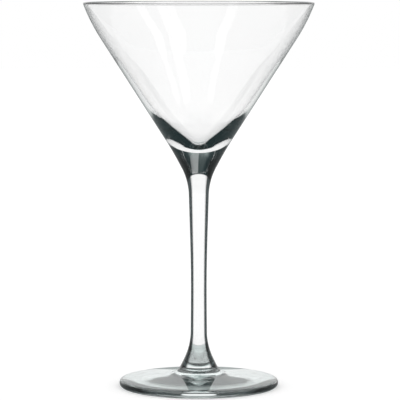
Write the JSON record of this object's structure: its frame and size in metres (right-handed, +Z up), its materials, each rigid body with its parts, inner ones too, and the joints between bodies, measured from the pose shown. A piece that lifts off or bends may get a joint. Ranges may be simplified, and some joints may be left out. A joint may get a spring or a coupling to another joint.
{
  "type": "martini glass",
  "caption": "Stemmed cocktail glass: a wide conical bowl with a solid root, a slim waisted stem and a round foot with a soft edge.",
  "frame": {"origin": "centre of the ring that the foot stands on, on the table's plane", "axes": "+Z up along the axis of the glass, from the foot to the lip; X and Y lie across it and are alike"},
  "size_m": [0.1115, 0.1114, 0.1865],
  "materials": {
    "clear_glass": "clear fire-polished soda-lime glass, smooth and bright, with a faint grey-green tint where it is thick"
  },
  "bodies": {
    "root": {"bowl": "clear_glass", "stem": "clear_glass", "foot": "clear_glass"}
  },
  "joints": []
}
